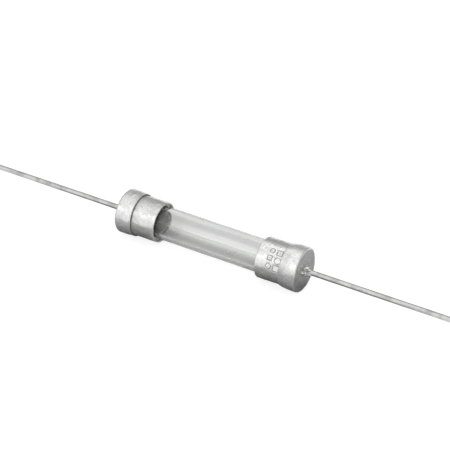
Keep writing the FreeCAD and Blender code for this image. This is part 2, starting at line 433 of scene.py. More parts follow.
class Graph:
    """A shader node tree with short calls for the nodes that the finishes use."""

    def __init__(self, tree: bpy.types.NodeTree) -> None:
        """Wraps a tree and clears it."""
        self.tree = tree
        tree.nodes.clear()

    def add(self, kind: str, **settings: object) -> bpy.types.Node:
        """Adds a node of a kind, named without its ShaderNode prefix, and sets its properties."""
        node = self.tree.nodes.new(kind if kind.startswith("Node") else f"ShaderNode{kind}")
        for key, value in settings.items():
            setattr(node, key, value)
        return node

    def put(self, socket: bpy.types.NodeSocket, value: object) -> None:
        """Links another node's socket to this one, or sets its plain value."""
        if isinstance(value, bpy.types.NodeSocket):
            self.tree.links.new(value, socket)
        elif isinstance(value, tuple) and len(value) == 3 and socket.type == "RGBA":
            socket.default_value = (*value, 1.0)
        else:
            socket.default_value = value

    def feed(self, node: bpy.types.Node, values: dict[str, object]) -> None:
        """Links or sets several of a node's inputs by name."""
        for key, value in values.items():
            self.put(node.inputs[key], value)

    def parts(self, vector: bpy.types.NodeSocket) -> tuple[bpy.types.NodeSocket, ...]:
        """A vector's x, y and z."""
        node = self.add("SeparateXYZ")
        self.put(node.inputs[0], vector)
        return tuple(node.outputs)

    def math(self, operation: str, *values: object, clamp: bool = False) -> bpy.types.NodeSocket:
        """The result of a Math node on up to three values or sockets."""
        node = self.add("Math", operation=operation, use_clamp=clamp)
        for socket, value in zip(node.inputs, values):
            self.put(socket, value)
        return node.outputs[0]

    def scaled(self, vector: bpy.types.NodeSocket, factors: Colour) -> bpy.types.NodeSocket:
        """A vector times another, part by part."""
        node = self.add("VectorMath", operation="MULTIPLY")
        self.put(node.inputs[0], vector)
        node.inputs[1].default_value = factors
        return node.outputs[0]

    def noise(self, vector: bpy.types.NodeSocket, scale: object, detail: float = 2.0,
              rough: float = 0.5) -> bpy.types.NodeSocket:
        """A noise texture's factor, from 0 to 1."""
        node = self.add("TexNoise")
        self.feed(node, {"Vector": vector, "Scale": scale, "Detail": detail, "Roughness": rough})
        return node.outputs["Fac"]

    def remap(self, value: object, low: object, high: object, to_low: object = 0.0,
              to_high: object = 1.0) -> bpy.types.NodeSocket:
        """A value moved smoothly from one range to another, and held at its ends."""
        node = self.add("MapRange", interpolation_type="SMOOTHSTEP")
        for socket, given in zip(node.inputs, (value, low, high, to_low, to_high)):
            self.put(socket, given)
        return node.outputs[0]

    def mixed(self, factor: object, first: object, second: object) -> bpy.types.NodeSocket:
        """One colour fading into another."""
        node = self.add("Mix", data_type="RGBA", clamp_factor=True)
        self.put(node.inputs["Factor"], factor)
        self.put(node.inputs[6], first)
        self.put(node.inputs[7], second)
        return node.outputs[2]

    def attribute(self, name: str) -> bpy.types.NodeSocket:
        """A mask stored on the piece's own mesh."""
        return self.add("Attribute", attribute_name=name).outputs["Fac"]

    def place(self) -> bpy.types.NodeSocket:
        """Object coordinates in millimetres."""
        return self.scaled(self.add("TexCoord").outputs["Object"], (1 / MM, 1 / MM, 1 / MM))

    def group(self, group: bpy.types.NodeTree, **values: object) -> bpy.types.Node:
        """Places a shared effect with its own values."""
        node = self.add("Group", node_tree=group)
        for key, value in values.items():
            self.put(node.inputs[key.replace("_", " ").capitalize()], value)
        return node

    def bump(self, height: bpy.types.NodeSocket, depth: float) -> bpy.types.NodeSocket:
        """A normal from a height whose 1 stands for the given depth in millimetres."""
        node = self.add("Bump")
        self.feed(node, {"Distance": depth * MM, "Height": height})
        return node.outputs[0]


def new_effect(name: str, inputs: dict[str, tuple[str, float]], outputs: Sequence[str]
               ) -> tuple[bpy.types.NodeTree, Graph, bpy.types.Node, bpy.types.Node]:
    """Starts a shared effect as a shader node group.

    Args:
        name: the group's name.
        inputs: each input's kind, Vector or Float, and its default.
        outputs: the names of its float outputs.

    Returns:
        The group, its graph, its input node and its output node.
    """
    tree = bpy.data.node_groups.new(name, "ShaderNodeTree")
    for key, (kind, default) in inputs.items():
        socket = tree.interface.new_socket(key, in_out="INPUT", socket_type=f"NodeSocket{kind}")
        if kind == "Float":
            socket.default_value = default
    for key in outputs:
        tree.interface.new_socket(key, in_out="OUTPUT", socket_type="NodeSocketFloat")
    graph = Graph(tree)
    return tree, graph, graph.add("NodeGroupInput"), graph.add("NodeGroupOutput")


class Effects:
    """The shared effects, each built once as a node group."""

    def __init__(self) -> None:
        """Builds every group."""
        self.grain = self._grain()
        self.mottle = self._mottle()
        self.worn_edge = self._worn_edge()
        self.specks = self._specks()

    @staticmethod
    def _grain() -> bpy.types.NodeTree:
        """Fine lines left by drawing a metal cup or a wire: noise stretched along the axis and
        crossed by weaker noise stretched round it."""
        tree, g, given, out = new_effect(
            "drawn_grain", {"Place": ("Vector", 0), "Lines": ("Float", 9.0), "Rings": ("Float", 6.0)},
            ("Height",))
        place = given.outputs["Place"]
        lines = g.noise(g.scaled(place, (0.12, 1.0, 1.0)), given.outputs["Lines"], 3.0, 0.6)
        rings = g.noise(g.scaled(place, (1.0, 0.06, 0.06)), given.outputs["Rings"], 2.0, 0.6)
        g.put(out.inputs["Height"], g.math("MULTIPLY_ADD", rings, 0.5, g.math("MULTIPLY", lines, 0.5)))
        return tree

    @staticmethod
    def _mottle() -> bpy.types.NodeTree:
        """Cloudy patches of a plated or cast surface, with finer cloud inside them."""
        tree, g, given, out = new_effect(
            "mottle", {"Place": ("Vector", 0), "Size": ("Float", 1.0)}, ("Mask", "Height"))
        rate = g.math("DIVIDE", 1.0, given.outputs["Size"])
        broad = g.noise(given.outputs["Place"], rate, 3.0, 0.6)
        fine = g.noise(given.outputs["Place"], g.math("MULTIPLY", rate, 4.7), 2.0, 0.55)
        g.put(out.inputs["Mask"], g.remap(broad, 0.38, 0.66))
        g.put(out.inputs["Height"], g.math("MULTIPLY_ADD", fine, 0.4, g.math("MULTIPLY", broad, 0.6)))
        return tree

    @staticmethod
    def _worn_edge() -> bpy.types.NodeTree:
        """Rubbed edges: the mesh's edge mask, broken up by noise."""
        tree, g, given, out = new_effect(
            "worn_edge", {"Place": ("Vector", 0), "Edge": ("Float", 0), "Amount": ("Float", 0.6)}, ("Mask",))
        ragged = g.noise(given.outputs["Place"], 3.5, 3.0, 0.65)
        reach = g.math("MULTIPLY", given.outputs["Edge"], g.remap(ragged, 0.3, 0.65))
        g.put(out.inputs["Mask"], g.math("MULTIPLY", reach, given.outputs["Amount"], clamp=True))
        return tree

    @staticmethod
    def _specks() -> bpy.types.NodeTree:
        """Scattered small round spots: near the centres of a cell pattern, in the few cells that a
        noise picks."""
        tree, g, given, out = new_effect(
            "specks", {"Place": ("Vector", 0), "Spacing": ("Float", 0.5), "Share": ("Float", 0.3)}, ("Mask",))
        rate = g.math("DIVIDE", 1.0, given.outputs["Spacing"])
        cells = g.add("TexVoronoi")
        g.feed(cells, {"Vector": given.outputs["Place"], "Scale": rate})
        dot = g.remap(cells.outputs["Distance"], 0.16, 0.32, 1.0, 0.0)
        split = g.add("SeparateColor")
        g.put(split.inputs[0], cells.outputs["Color"])
        picked = g.math("LESS_THAN", split.outputs[0], given.outputs["Share"])
        g.put(out.inputs["Mask"], g.math("MULTIPLY", dot, picked))
        return tree


# ---------------------------------------------------------------- finishes


@dataclass(frozen=True)
class Finish:
    """A finish of one kind of piece, with the record's material slot that it belongs to."""

    name: str
    slot: str

    def material(self, effects: Effects) -> bpy.types.Material:
        """Makes the material, or returns it if another piece already has it."""
        made = bpy.data.materials.get(self.name)
        if made is None:
            made = bpy.data.materials.new(self.name)
            made.use_nodes = True
            graph = Graph(made.node_tree)
            shader = graph.add("BsdfPrincipled")
            target = graph.add("OutputMaterial")
            graph.put(target.inputs["Surface"], self.wire(graph, shader, effects))
        return made

    def wire(self, g: Graph, shader: bpy.types.Node, effects: Effects) -> bpy.types.NodeSocket:
        """Sets up the shader. Each finish has its own.

        Args:
            g: the material's graph.
            shader: its Principled shader.
            effects: the shared effects.

        Returns:
            The socket that feeds the material's surface.
        """
        raise NotImplementedError


@dataclass(frozen=True)
class PlatedMetal(Finish):
    """Satin plate on a drawn metal cup: grain, cloudy patches, frost, pits, worn edges, dust, stains and
    painted shade. Depths are in millimetres, and wear, pitted, dusty and frosted are how strongly each shows."""

    colour: Colour
    cloud: Colour
    worn_and_shaded: Colour
    stain_and_shade: Colour
    roughness: float
    grain_depth: float
    mottle_depth: float
    mottle_size: float
    pit_depth: float = 0.012
    wear: float = 0.45
    pitted: float = 0.2
    dusty: float = 0.22
    frosted: float = 0.15

    def wire(self, g: Graph, shader: bpy.types.Node, effects: Effects) -> bpy.types.NodeSocket:
        """Metal whose colour, roughness and normal follow the grain, patches, edges, stains and painted
        shade.
        """
        place = g.place()
        grain = g.group(effects.grain, place=place, lines=7.0, rings=5.0).outputs["Height"]
        mottle = g.group(effects.mottle, place=place, size=self.mottle_size)
        edge = g.group(effects.worn_edge, place=place, edge=g.attribute("edge"), amount=self.wear)
        dust = g.group(effects.specks, place=place, spacing=0.9, share=0.12).outputs["Mask"]
        pits = g.group(effects.specks, place=place, spacing=0.34, share=0.3).outputs["Mask"]
        fine = g.noise(place, 4.2, 2.0, 0.6)
        ragged = g.noise(place, 2.6, 3.0, 0.6)
        frost = g.remap(g.noise(place, 3.6, 3.0, 0.75), 0.42, 0.62, 0.0, self.frosted)
        # This mask carries real stains and painted shade: shade at the lead caps' rims and in stamped
        # grooves, and a band of shade along one side of each cap.
        stain_and_shade_mask = g.math("MULTIPLY", g.attribute("stain_and_shade"), g.remap(ragged, 0.2, 0.6, 0.35, 1.0), clamp=True)
        spots = g.math("MULTIPLY_ADD", pits, self.pitted, g.math("MULTIPLY", dust, self.dusty))
        colour = g.mixed(mottle.outputs["Mask"], self.colour, self.cloud)
        colour = g.mixed(edge.outputs["Mask"], colour, self.worn_and_shaded)
        colour = g.mixed(g.math("ADD", spots, frost), colour, self.stain_and_shade)
        rough = g.math("MULTIPLY_ADD", mottle.outputs["Mask"], 0.07, self.roughness)
        rough = g.math("MULTIPLY_ADD", g.math("SUBTRACT", grain, 0.5), 0.16, rough)
        rough = g.math("MULTIPLY_ADD", edge.outputs["Mask"], 0.1, rough)
        height = g.math("MULTIPLY", grain, self.grain_depth)
        height = g.math("MULTIPLY_ADD", mottle.outputs["Height"], self.mottle_depth, height)
        height = g.math("MULTIPLY_ADD", fine, 2 * self.pit_depth, height)
        height = g.math("MULTIPLY_ADD", pits, -self.pit_depth, height)
        g.feed(shader, {"Base Color": g.mixed(stain_and_shade_mask, colour, self.stain_and_shade),
                        "Roughness": g.math("MULTIPLY_ADD", stain_and_shade_mask, 0.3, rough),
                        "Metallic": g.math("MULTIPLY_ADD", stain_and_shade_mask, -0.45, 1.0),
                        "Normal": g.bump(height, 1.0)})
        return shader.outputs[0]


@dataclass(frozen=True)
class TinnedWire(Finish):
    """Tinned copper wire with fine lines along it, a few dull patches and bare copper at cut ends."""

    colour: Colour
    dull: Colour
    roughness: float
    copper: Colour = (0.72, 0.5, 0.38)
    line_depth: float = 0.012

    def wire(self, g: Graph, shader: bpy.types.Node, effects: Effects) -> bpy.types.NodeSocket:
        """Metal with long drawn lines, dull patches and rubbed ends."""
        place = g.place()
        grain = g.group(effects.grain, place=place, lines=16.0, rings=1.2).outputs["Height"]
        mottle = g.group(effects.mottle, place=place, size=1.6).outputs["Mask"]
        edge = g.group(effects.worn_edge, place=place, edge=g.attribute("edge"), amount=0.9).outputs["Mask"]
        g.feed(shader, {"Base Color": g.mixed(edge, g.mixed(mottle, self.colour, self.dull), self.copper),
                        "Roughness": g.math("MULTIPLY_ADD", mottle, 0.12, self.roughness),
                        "Metallic": 1.0,
                        "Normal": g.bump(grain, self.line_depth)})
        return shader.outputs[0]


@dataclass(frozen=True)
class ClearGlass(Finish):
    """Drawn glass tube: clear and faintly grey, with handling haze and long draw lines. It lets the
    lamps through to what lies behind it."""

    tint: Colour
    roughness: float
    index: float
    dust: Colour = (0.55, 0.55, 0.54)
    line_depth: float = 0.006

    def wire(self, g: Graph, shader: bpy.types.Node, effects: Effects) -> bpy.types.NodeSocket:
        """Glass with a slight haze that comes and goes, and a clear path for shadow rays."""
        place = g.place()
        haze = g.group(effects.mottle, place=g.scaled(place, (0.35, 1.0, 1.0)), size=2.4).outputs["Mask"]
        dust = g.group(effects.specks, place=place, spacing=1.3, share=0.1).outputs["Mask"]
        grain = g.group(effects.grain, place=place, lines=1.4, rings=0.25).outputs["Height"]
        rough = g.math("MULTIPLY_ADD", haze, 0.03, self.roughness)
        g.feed(shader, {"Transmission Weight": 1.0, "IOR": self.index, "Metallic": 0.0,
                        "Base Color": g.mixed(g.math("MULTIPLY", dust, 0.12), self.tint, self.dust),
                        "Roughness": g.math("MULTIPLY_ADD", dust, 0.25, rough),
                        "Normal": g.bump(grain, self.line_depth)})
        clear = g.add("BsdfTransparent")
        slant = g.add("LayerWeight").outputs["Facing"]
        g.put(clear.inputs["Color"], g.mixed(g.math("POWER", slant, 2.0), grey(0.94), grey(0.3)))
        through = g.add("MixShader")
        g.put(through.inputs[0], g.add("LightPath").outputs["Is Shadow Ray"])
        g.put(through.inputs[1], shader.outputs[0])
        g.put(through.inputs[2], clear.outputs[0])
        return through.outputs[0]


@dataclass(frozen=True)
class RoughMetal(Finish):
    """Solder or weld metal: frozen lumps with pits, dark skin in the hollows and bright high spots."""

    colour: Colour
    skin: Colour
    roughness: float
    pit_spacing: float
    depth: float

    def wire(self, g: Graph, shader: bpy.types.Node, effects: Effects) -> bpy.types.NodeSocket:
        """Metal whose pits and cloudy skin are darker and duller."""
        place = g.place()
        mottle = g.group(effects.mottle, place=place, size=0.45)
        pits = g.group(effects.specks, place=place, spacing=self.pit_spacing, share=0.45).outputs["Mask"]
        dark = g.math("MAXIMUM", pits, g.math("MULTIPLY", mottle.outputs["Mask"], 0.6))
        # The mesh's mask adds painted shade here: the weld's underside is painted darker.
        dark = g.math("MAXIMUM", dark, g.attribute("stain_and_shade"), clamp=True)
        height = g.math("MULTIPLY_ADD", pits, -0.5, mottle.outputs["Height"])
        g.feed(shader, {"Base Color": g.mixed(dark, self.colour, self.skin),
                        "Roughness": g.math("MULTIPLY_ADD", dark, 0.3, self.roughness),
                        "Metallic": g.math("MULTIPLY_ADD", dark, -0.35, 1.0),
                        "Normal": g.bump(height, self.depth)})
        return shader.outputs[0]


@dataclass(frozen=True)
class Cement(Finish):
    """Grey capping cement: a gritty matt paste with pale grains."""

    paste: Colour
    grain: Colour
    damp: Colour = (0.12, 0.12, 0.115)
    depth: float = 0.05

    def wire(self, g: Graph, shader: bpy.types.Node, effects: Effects) -> bpy.types.NodeSocket:
        """A matt paste with grains that stand out."""
        place = g.place()
        mottle = g.group(effects.mottle, place=place, size=0.5)
        grains = g.group(effects.specks, place=place, spacing=0.28, share=0.22).outputs["Mask"]
        paste = g.mixed(g.math("MULTIPLY", mottle.outputs["Mask"], 0.5), self.paste, self.damp)
        height = g.math("MULTIPLY_ADD", grains, 0.4, mottle.outputs["Height"])
        g.feed(shader, {"Base Color": g.mixed(grains, paste, self.grain),
                        "Roughness": g.math("MULTIPLY_ADD", grains, -0.4, 0.85),
                        "Normal": g.bump(height, self.depth)})
        return shader.outputs[0]


NICKEL = PlatedMetal("satin_nickel_plate", "nickel_plate", (0.76, 0.757, 0.75), (0.66, 0.657, 0.65),
                     (0.82, 0.815, 0.81), (0.11, 0.108, 0.105), 0.2, 0.004, 0.016, 0.8)
TIN = PlatedMetal("satin_tin_plate", "tin_plate", (0.81, 0.81, 0.807), (0.71, 0.71, 0.707),
                  (0.8, 0.8, 0.797), (0.11, 0.11, 0.108), 0.27, 0.004, 0.018, 0.9, 0.018)
LEAD_WIRE = TinnedWire("tinned_lead_wire", "tinned_copper", (0.56, 0.557, 0.55), (0.42, 0.417, 0.41), 0.28)
GLASS = ClearGlass("drawn_clear_glass", "clear_glass", (0.955, 0.96, 0.955), 0.02, 1.5)
SOLDER = RoughMetal("grey_solder", "solder", (0.74, 0.74, 0.74), (0.16, 0.16, 0.15), 0.3, 0.34, 0.16)
WELD = RoughMetal("lead_weld_metal", "weld_metal", (0.68, 0.68, 0.675), (0.11, 0.11, 0.105), 0.3, 0.3, 0.06)
CEMENT = Cement("grey_capping_cement", "cement", (0.5, 0.497, 0.49), (0.9, 0.89, 0.87))
FUSE_METAL = TinnedWire("fuse_wire_metal", "fuse_wire_metal", (0.3, 0.29, 0.28), (0.2, 0.195, 0.19), 0.5)


# ---------------------------------------------------------------- stamped marks


@dataclass(frozen=True)
class Bar:
    """A straight stroke of a stamp, from one point to another, in millimetres. Places are counted
    along the axis from the ferrule's mouth, and round its girth from the top, towards -Y on the right
    end and +Y on the left, which is turned."""

    along0: float
    round0: float
    along1: float
    round1: float

    def distance(self, along: np.ndarray, girth: np.ndarray) -> np.ndarray:
        """The distance to the nearest point of the stroke: the foot of the perpendicular, held
        between the stroke's two ends."""
        run, rise = self.along1 - self.along0, self.round1 - self.round0
        share = ((along - self.along0) * run + (girth - self.round0) * rise) / (run * run + rise * rise)
        share = np.clip(share, 0, 1)
        return np.hypot(along - self.along0 - share * run, girth - self.round0 - share * rise)


@dataclass(frozen=True)
class Ring:
    """A round stroke of a stamp. A ring of radius 0 is a dot."""

    along: float
    girth: float
    radius: float

    def distance(self, along: np.ndarray, girth: np.ndarray) -> np.ndarray:
        """The distance to the circle: how far the distance from its centre differs from its radius."""
        return np.abs(np.hypot(along - self.along, girth - self.girth) - self.radius)


def box_strokes(along0: float, round0: float, along1: float, round1: float) -> list[Bar]:
    """The four strokes of a rectangle between two opposite corners."""
    return [Bar(along0, round0, along1, round0), Bar(along1, round0, along1, round1),
            Bar(along1, round1, along0, round1), Bar(along0, round1, along0, round0)]


@dataclass(frozen=True)
class Stamp:
    """Plain geometric marks pressed into a ferrule, with a low raised lip along each stroke."""

    strokes: tuple[Bar | Ring, ...]
    mouth: float
    width: float
    depth: float
    seed: int

    def gap(self, x: np.ndarray, angle: np.ndarray, radius: np.ndarray) -> np.ndarray:
        """The distance from each point to the nearest stroke.

        Args:
            x, angle: distance along the axis and angle round it.
            radius: distance from the axis. The widest one turns angles into lengths.

        Returns:
            Distances in millimetres, 9 at most.
        """
        girth = angle * float(np.max(radius))
        along = x - self.mouth
        near = np.full(np.broadcast(along, girth).shape, 9.0)
        for stroke in self.strokes:
            near = np.minimum(near, stroke.distance(along, girth))
        return near

    def hollow(self, near: np.ndarray) -> np.ndarray:
        """1 in the middle of a stroke, fading to 0 a little past its edge."""
        half = self.width / 2
        return 1 - smooth_step(near, 0.35 * half, 1.25 * half)

    def __call__(self, x: np.ndarray, angle: np.ndarray, radius: np.ndarray) -> np.ndarray:
        """The height of the stamped surface: a hollow along each stroke, pressed unevenly, with a bead
        of pushed-up metal beside it.

        Args:
            x, angle, radius: distance along the axis, angle round it and distance from it.

        Returns:
            Heights in millimetres.
        """
        near = self.gap(x, angle, radius)
        half = self.width / 2
        bead = np.exp(-(((near - 1.7 * half) / (0.5 * half)) ** 2))
        pressed = 0.75 + 0.3 * Swell(1.0, 2.2, 0.6, self.seed)(x, angle, radius)
        return self.depth * np.clip(pressed, 0.25, 1.2) * (0.35 * bead - self.hollow(near))


# ---------------------------------------------------------------- the fuse


def dress(thing: bpy.types.Object, finish: Finish, effects: Effects, *nodes: str) -> bpy.types.Object:
    """Gives a piece its finish and ties it to the frame.

    Args:
        thing: the new piece.
        finish: its finish.
        effects: the shared effects.
        nodes: the CAD nodes that it stands for.

    Returns:
        The piece.
    """
    thing.data.materials.append(finish.material(effects))
    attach(thing, BODY)
    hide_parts(*nodes)
    LOG.info("%s: %d faces", thing.name, len(thing.data.polygons))
    return thing


def dress_end(shell: Shell, side: Side, name: str, finish: Finish, effects: Effects,
              node: str) -> bpy.types.Object:
    """Makes and dresses a piece of one end.

    Args:
        shell: the piece's shape, as on the right-hand end.
        side: its end of the fuse.
        name: the piece's name without its side.
        finish: its finish.
        effects: the shared effects.
        node: the name without its side of the CAD node that it stands for.

    Returns:
        The piece.
    """
    return dress(shell.to_object(side.node(name), side), finish, effects, side.node(node))


@dataclass(frozen=True)
class GlassBody:
    """The glass tube."""

    wall: float = 0.65
    polish: float = 0.18
    draw_wave: float = 0.006
    columns: int = 160

    def build(self, effects: Effects) -> bpy.types.Object:
        """Makes the tube: a closed half-section with fire-polished ends, turned about the axis.

        Args:
            effects: the shared effects.

        Returns:
            The piece.
        """
        low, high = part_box("glass_tube")
        half, outer = high.x / MM, max(high.y, high.z) / MM
        bore = outer - self.wall
        corners = (Corner(-half, bore, self.polish, 0.5), Corner(half, bore, self.polish),
                   Corner(half, outer, self.polish, 0.5), Corner(-half, outer, self.polish))
        wave = Swell(self.draw_wave, 14.0, 5.0, seed=3)
        shell = turn_section(Section.through(corners, closed=True), self.columns, wave)
        return dress(shell.to_object("glass_tube_clear", Side.RIGHT), GLASS, effects, "glass_tube")


@dataclass(frozen=True)
class FuseWire:
    """The fuse wire, which hangs a little between its two solder plugs."""

    kink: float = 0.05
    rings: int = 220
    columns: int = 12

    def build(self, effects: Effects) -> bpy.types.Object:
        """Carries a circle along the wire's line.

        The line is z = -sag * (1 - (x / half)^2), with two low sine kinks added sideways that die
        out at the ends. Each ring stands square to the line.

        Args:
            effects: the shared effects.

        Returns:
            The piece.
        """
        low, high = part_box("fuse_wire")
        half, radius = high.x / MM, high.y / MM
        sag = -low.z / MM - radius
        x = np.linspace(-half, half, self.rings)
        fade = 1 - (x / half) ** 2
        y = self.kink * fade * np.sin(x * 0.9 + 0.4)
        z = -sag * fade + 0.5 * self.kink * fade * np.sin(x * 1.3)
        line = np.stack((x, y, z), axis=1)
        ahead = np.gradient(line, axis=0)
        ahead /= np.linalg.norm(ahead, axis=1, keepdims=True)
        side = np.cross(ahead, (0.0, 0.0, 1.0))
        side /= np.linalg.norm(side, axis=1, keepdims=True)
        above = np.cross(side, ahead)
        angle = angles_round(self.columns)[..., None]
        ring = side[:, None] * np.cos(angle) + above[:, None] * np.sin(angle)
        points = line[:, None] + radius * ring
        shell = Shell(points, {"edge": np.zeros(points.shape[:2])}, False, (True, True))
        return dress(shell.to_object("fuse_wire_drawn", Side.RIGHT), FUSE_METAL, effects, "fuse_wire")


@dataclass(frozen=True)
class Ferrule:
    """A drawn cup on the end of the glass: plated, dented, stamped, with a rolled mouth."""

    side: Side
    strokes: tuple[Bar | Ring, ...]
    stamp_depth: float
    flux_and_shade: float
    corner: float = 0.55
    root: float = 0.27
    lip: float = 0.1
    dent: float = 0.012
    ripple: float = 0.006
    stroke_width: float = 0.15
    stamp_grime_and_shade: float = 0.8
    joint_shade_width: float = 0.24
    widen_below: float = 1.3
    fine: float = 0.06
    columns: int = 384

    def build(self, effects: Effects) -> bpy.types.Object:
        """Makes the ferrule: a cup's half-section, turned, then dented and stamped outside only.

        Args:
            effects: the shared effects.

        Returns:
            The piece.
        """
        span = Span.of(self.side.node("ferrule"))
        bore = Span.of(self.side.node("cement_ring")).radius
        wall = span.radius - bore
        rim = Span.of(self.side.node("lead_cap")).near
        floor = span.far - wall
        corners = (Corner(floor, 0.0, step=0.5), Corner(floor, bore, self.root, 0.5),
                   Corner(span.near, bore, wall * 0.4, 0.5), Corner(span.near, span.radius, self.lip, 0.1),
                   Corner(span.far, span.radius, self.corner, self.fine), Corner(span.far, 0.0))
        section = Section.through(corners[::-1], closed=False)
        broad = Swell(self.dent, 9.0, 2.5, self.side.seed)
        close = Swell(self.ripple, 2.2, 0.8, self.side.seed + 1)
        stamp = Stamp(self.strokes, span.near, self.stroke_width, self.stamp_depth, self.side.seed + 2)

        def relief(x: np.ndarray, angle: np.ndarray, radius: np.ndarray) -> np.ndarray:
            """Dents and stamps on the outside wall, fading out at the lip and under the lead cap."""
            outside = smooth_step(radius, bore + 0.3 * wall, bore + 0.8 * wall)
            clear_of_lip = smooth_step(x, span.near, span.near + 0.5)
            clear_of_cap = 1 - smooth_step(x, rim - 0.15, rim + 0.1)
            height = broad(x, angle, radius) + close(x, angle, radius) + stamp(x, angle, radius)
            return outside * clear_of_lip * clear_of_cap * height

        shell = turn_section(section, self.columns, relief)
        angle = angles_round(self.columns)
        # Painted shade in the crease at the lead cap's rim, mixed with flux: a dark band on the ferrule
        # beside the rim, wider towards the bottom where shade falls deeper.
        widening = 1 + self.widen_below * np.clip(-np.cos(angle), 0, 1)
        joint_flux_and_shade = np.exp(-np.maximum(rim - shell.along, 0) / (self.joint_shade_width * widening))
        joint_flux_and_shade = joint_flux_and_shade * (shell.along < rim + 0.4)
        # Grime and painted shade in the stamped grooves: the hollows are painted darker.
        groove_grime_and_shade = stamp.hollow(stamp.gap(shell.along, angle, np.array([span.radius])))
        groove_grime_and_shade = groove_grime_and_shade * (shell.out > bore + 0.5 * wall)
        shell = shell.with_stain_and_shade(self.flux_and_shade * joint_flux_and_shade + self.stamp_grime_and_shade * groove_grime_and_shade)
        return dress_end(shell, self.side, "ferrule_plated", NICKEL, effects, "ferrule")


@dataclass(frozen=True)
class LeadCap:
    """The thin cup that carries the lead, drawn in at its rim by the crimp. A painted band of shade, dull
    as well, runs along one side, a little above the axis: the front of the right cap and the back of the
    left."""

    side: Side
    press: float
    tarnish_and_shade: float
    flux_and_shade: float
    shade_band_strength: float
    wall: float = 0.2
    collar: float = 0.35
    taper: float = 0.9
    corner: float = 0.32
    ease: float = 0.9
    root_dark_radius: float = 0.9
    root_dark_fade: float = 0.28
    rim_shade_width: float = 0.07
    rim_shade_sag: float = 0.2
    shade_band_height: float = 0.2
    shade_band_width: float = 0.22
    dent: float = 0.014
    ripple: float = 0.005
    columns: int = 320

    def build(self, effects: Effects) -> bpy.types.Object:
        """Makes the cup. The crimp is a pair of large arcs between the body and the collar.

        Args:
            effects: the shared effects.

        Returns:
            The piece.
        """
        span = Span.of(self.side.node("lead_cap"))
        ferrule = Span.of(self.side.node("ferrule"))
        film = Span.of(self.side.node("solder_film"))
        body, rim = span.radius, span.near
        neck, shoulder = rim + self.collar, rim + self.collar + self.taper
        neck_bore = ferrule.radius + 0.01
        lip = neck_bore + self.wall * (1 - self.press)
        corners = (
            Corner(film.far, 0.0, step=0.5),
            Corner(film.far, body - self.wall, self.corner - self.wall, 0.3),
            Corner(shoulder, body - self.wall, self.ease, 0.3),
            Corner(neck, neck_bore, self.ease, 0.3),
            Corner(rim, neck_bore, 0.03, 0.1),
            Corner(rim, lip, 0.05, 0.1),
            Corner(neck, neck_bore + self.wall * (1 - 0.3 * self.press), self.ease, 0.12),
            Corner(shoulder, body, self.ease, 0.12),
            Corner(span.far, body, self.corner, 0.3),
            Corner(span.far, 0.0),
        )
        section = Section.through(corners[::-1], closed=False)
        broad = Swell(self.dent, 7.0, 2.0, self.side.seed + 3)
        close = Swell(self.ripple, 1.8, 0.7, self.side.seed + 4)

        def relief(x: np.ndarray, angle: np.ndarray, radius: np.ndarray) -> np.ndarray:
            """Dents that fade out at the rim and towards the middle of the end."""
            rim_fade = smooth_step(x, rim + 0.1, rim + 0.9)
            middle_fade = smooth_step(radius, 0.5, 2.5)
            return rim_fade * middle_fade * (broad(x, angle, radius) + close(x, angle, radius))

        shell = turn_section(section, self.columns, relief)
        face = smooth_step(shell.along, film.far + 0.05, film.far + 0.12)
        # Darker round the lead's root on the end face.
        root_darkening = face * np.exp(-np.maximum(shell.out - self.root_dark_radius, 0) / self.root_dark_fade)
        height = shell.points[..., 2] / np.maximum(shell.out, 0.1)
        # Painted shade at the rim, mixed with flux: a dark line in the crease there, wider on the lower side.
        below = np.clip(-height, 0, 1)
        rim_flux_and_shade = np.exp(-np.abs(shell.along - rim) / (self.rim_shade_width + self.rim_shade_sag * below))
        # Painted shade: a dull, darker band along one side of the cap, a little above the axis.
        painted_band = np.exp(-(((height - self.shade_band_height) / self.shade_band_width) ** 2)) * (shell.points[..., 1] < 0)
        worn_and_shaded = self.shade_band_strength * painted_band * (1 - face)
        # The even tarnish also paints one cap a little darker than the other, as shade.
        shell = shell.with_stain_and_shade(0.15 * root_darkening + 0.8 * self.flux_and_shade * rim_flux_and_shade + self.tarnish_and_shade + worn_and_shaded)
        return dress_end(shell, self.side, "lead_cap_plated", TIN, effects, "lead_cap")


@dataclass(frozen=True)
class Lead:
    """A stiff tinned lead with a cut end."""

    side: Side
    point: float = 0.12
    bow: float = 0.05
    columns: int = 48

    def build(self, effects: Effects) -> bpy.types.Object:
        """Makes the lead: a turned rod whose centre line wanders by a low sine wave from its root.

        Args:
            effects: the shared effects.

        Returns:
            The piece.
        """
        span = Span.of(self.side.node("lead"))
        corners = (Corner(span.near, 0.0), Corner(span.near, span.radius, 0.02, 0.4),
                   Corner(span.far - self.point, span.radius, 0.05, 0.1),
                   Corner(span.far, span.radius - self.point, 0.03, 0.1), Corner(span.far, 0.0))
        section = Section.through(corners[::-1], closed=False)
        shell = turn_section(section, self.columns, Swell(0.004, 6.0, 1.5, self.side.seed + 5))
        share = (shell.points[..., 0] - span.near) / (span.far - span.near)
        shell.points[..., 1] += self.bow * share * np.sin(share * 7.0 + self.side.seed)
        shell.points[..., 2] += self.bow * share * np.sin(share * 5.0)
        return dress_end(shell, self.side, "lead_tinned", LEAD_WIRE, effects, "lead")


